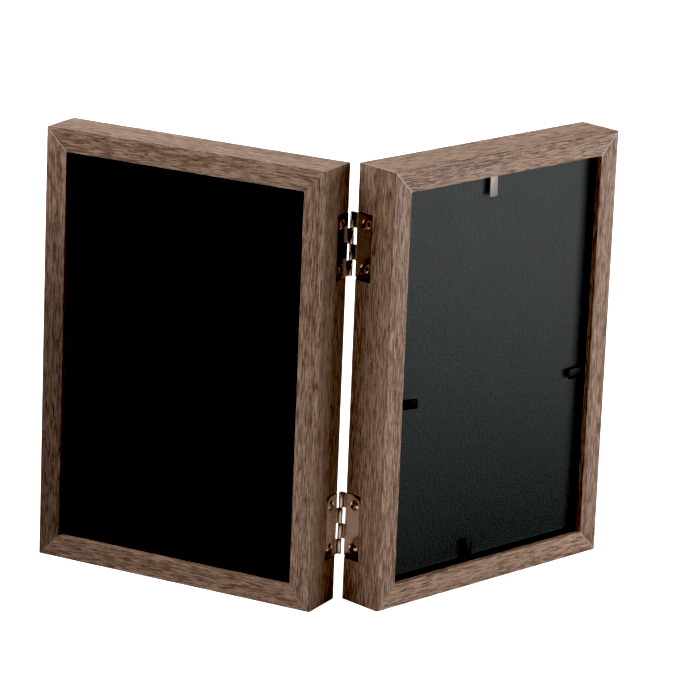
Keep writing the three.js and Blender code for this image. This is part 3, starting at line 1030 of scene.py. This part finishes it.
def screw_tree():
    sockets = {"Geometry": "Geometry", "Screw": "Object", "Seed": "Int", "Material": "Material"}
    recipe, given, result = start_tree("screws at random turns", sockets)
    screw = recipe.node("GeometryNodeObjectInfo", {}, {"Object": given["Screw"]}, "Geometry")
    inputs = {"Max": (math.pi / 2, 0, 0), "Seed": given["Seed"]}
    turn = recipe.node("FunctionNodeRandomValue", {"data_type": "FLOAT_VECTOR"}, inputs)
    turn = recipe.node("FunctionNodeEulerToRotation", {}, {0: turn})
    inputs = {"Points": given["Geometry"], "Instance": screw, "Rotation": turn}
    set_screws = recipe.node("GeometryNodeInstanceOnPoints", {}, inputs)
    end_tree(recipe, result, set_screws, given["Material"])
    return recipe.tree


# %% Screws on their places
screw_nickel = antique_nickel("screw nickel", (0.80, 0.62, 0.49, 1), (0.60, 0.44, 0.34, 1))
scattered = screw_tree()
for side in SIDES:
    boxes = [box_in(leaf_matrix(side), f"{side}_{name}") for name in SCREWS]
    low, high = boxes[0]
    head_radius = (high.z - low.z) / 2
    _, plate_high = box_in(leaf_matrix(side), f"{side}_lower_hinge_plate")
    under_head = plate_high.x - HEAD_EDGE
    model_screw = screw_piece(head_radius, under_head - low.x, high.x - under_head)
    cut(model_screw, [cross_wing(under_head - low.x, across) for across in (False, True)])
    middles = [(under_head, (a.y + b.y) / 2, (a.z + b.z) / 2) for a, b in boxes]
    values = {"Screw": model_screw, "Seed": 11, "Material": screw_nickel}
    screws = grow(f"{side}_hinge_screws", scattered, values, middles)
    bpy.data.objects.remove(model_screw)
    carry(screws, leaf_matrix(side))
    shade(screws)
    hand_over(screws, f"{side}_leaf", "screw_metal", *[f"{side}_{name}" for name in SCREWS])
    print(screws.name, "faces:", len(screws.data.polygons))

# %% [markdown]
# ## Floor, light and camera
# The object stands on a plain pale floor that glows a little, so that it stays white to the
# horizon. Soft area lights do the rest: one overhead, one from the left, two from the right, and
# two behind for the display side. The sheen on the right board has a low panel of its own, which
# lights nothing else and casts no shadow of the stick beside it.
# A polished hinge is only as bright as what it mirrors. So mirrors don't see the wide floor but
# two sheets in front of the object: the lower hinge reflects a white one, and the right plate of
# the upper hinge a grey one further off. The rest of the upper hinge mirrors the dark room.

# %% Floor
def matt_paper(name, tone):
    """Matt grey paper, which glows a little towards the camera."""
    material, recipe, shader = new_material(name)
    shader.inputs["Base Color"].default_value = grey(tone)
    shader.inputs["Roughness"].default_value = 0.9
    shader.inputs["Specular IOR Level"].default_value = 0.1
    seen = recipe.node("ShaderNodeLightPath", {}, {}, "Is Camera Ray")
    recipe.feed(shader.inputs["Emission Color"], seen)
    shader.inputs["Emission Strength"].default_value = 1.1
    return material


below = 0.02 * MM
pale = matt_paper("pale floor", 0.93)
floor = box_piece("floor", Vector((-4, -4, -0.01)), Vector((4, 4, -below)))
paint(floor, pale)
floor.visible_glossy = False
floor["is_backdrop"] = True


def mirrored_sheet(name, low, high, paper):
    """A sheet that lies on the floor, and that only mirrors see."""
    sheet = box_piece(name, Vector((*low, -below)), Vector((*high, -0.5 * below)))
    paint(sheet, paper)
    sheet.visible_camera = False
    sheet.visible_diffuse = False
    sheet.visible_shadow = False
    sheet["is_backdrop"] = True


mirrored_sheet("white sheet", (-0.11, -0.30), (0.07, -0.05), pale)
mirrored_sheet("grey sheet", (0.12, -0.56), (0.36, -0.34), matt_paper("grey paper", 0.6))

# %% Lights
middle = (cad_low + cad_high) / 2


def direction(azimuth, elevation):
    """A unit step out from the object; azimuth 0 is in front, and 90 is on the right."""
    turn, rise = math.radians(azimuth), math.radians(elevation)
    level = math.cos(rise)
    return Vector((math.sin(turn) * level, -math.cos(turn) * level, math.sin(rise)))


def area_light(name, azimuth, elevation, distance, size, power, colour=(1, 1, 1)):
    """A soft light that looks at the object."""
    out = direction(azimuth, elevation)
    light = bpy.data.objects.new(name, bpy.data.lights.new(name, "AREA"))
    light.data.shape = "SQUARE"
    light.data.size = size
    light.data.energy = power
    light.data.color = colour
    light.location = middle + out * distance
    light.rotation_euler = out.to_track_quat("Z", "Y").to_euler()
    scene.collection.objects.link(light)
    return light


def light_only(light, pieces, state):
    """Makes a light shine only on these pieces (INCLUDE), or on all but these (EXCLUDE)."""
    receivers = bpy.data.collections.new(f"{light.name} receivers")
    for piece in pieces:
        receivers.objects.link(piece)
    for member in receivers.collection_objects:
        member.light_linking.link_state = state
    light.light_linking.receiver_collection = receivers


boards = [bpy.data.objects[f"{side}_back_board"] for side in SIDES]
area_light("overhead", 0, 88, 0.9, 0.7, 6.3)
area_light("left", -75, 45, 0.9, 0.5, 4.2)
area_light("back_sheen", 180, 20, 1.0, 0.7, 1.1)
area_light("display_fill", 180, 0, 0.9, 0.16, 4.0)
light_only(area_light("right", 100, 15, 0.9, 0.5, 2.5), boards, "EXCLUDE")
light_only(area_light("low_right", 70, 6, 0.6, 0.3, 1.55), boards, "EXCLUDE")
board_sheen = area_light("board_sheen", 76, 3.5, 0.6, 0.4, 1.5, (0.93, 1.0, 0.985))
board_sheen.data.use_shadow = False
light_only(board_sheen, boards, "INCLUDE")

world = bpy.data.worlds.new("studio")
scene.world = world
world.use_nodes = True
sky = Recipe(world.node_tree)
backdrop = world.node_tree.nodes["Background"]
seen = sky.node("ShaderNodeLightPath", {}, {}, "Is Camera Ray")
backdrop.inputs["Color"].default_value = grey(1.0)
sky.feed(backdrop.inputs["Strength"], seen * 1.2)
world.cycles_visibility.glossy = False

# %% Camera
CAMERA = {"azimuth": -8.34, "elevation": 16.03, "roll": 2.34, "distance": 1.5329, "lens": 204.57}
aim = middle + Vector((5.09, 0.70, 4.97)) * MM


def make_camera():
    out = direction(CAMERA["azimuth"], CAMERA["elevation"])
    camera = bpy.data.objects.new("camera", bpy.data.cameras.new("camera"))
    scene.collection.objects.link(camera)
    camera.data.sensor_width = 36
    camera.data.lens = CAMERA["lens"]
    camera.data.clip_start = 0.05
    camera.data.clip_end = 20
    camera.location = aim + out * CAMERA["distance"]
    level = out.to_track_quat("Z", "Y")
    tilt = Quaternion((0, 0, 1), math.radians(CAMERA["roll"]))
    camera.rotation_euler = (level @ tilt).to_euler()
    scene.camera = camera
    return camera


camera = make_camera()
view = scene.view_settings
view.view_transform = "Standard"
view.use_curve_mapping = True
view.curve_mapping.black_level = (0.025, 0.025, 0.025)  # the deepest shades go to black
view.curve_mapping.update()
print("camera at", [round(x, 5) for x in camera.location])

# %% [markdown]
# ## Sizes, and the end
# The CAD model's box and the finished pieces' box are both measured and kept side by side.
# The finished pieces have to stay inside the CAD model's box.

# %% Sizes
visual_low, visual_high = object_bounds()
boxes = {
    "cad": [list(cad_low), list(cad_high)],
    "visual": [list(visual_low), list(visual_high)],
}
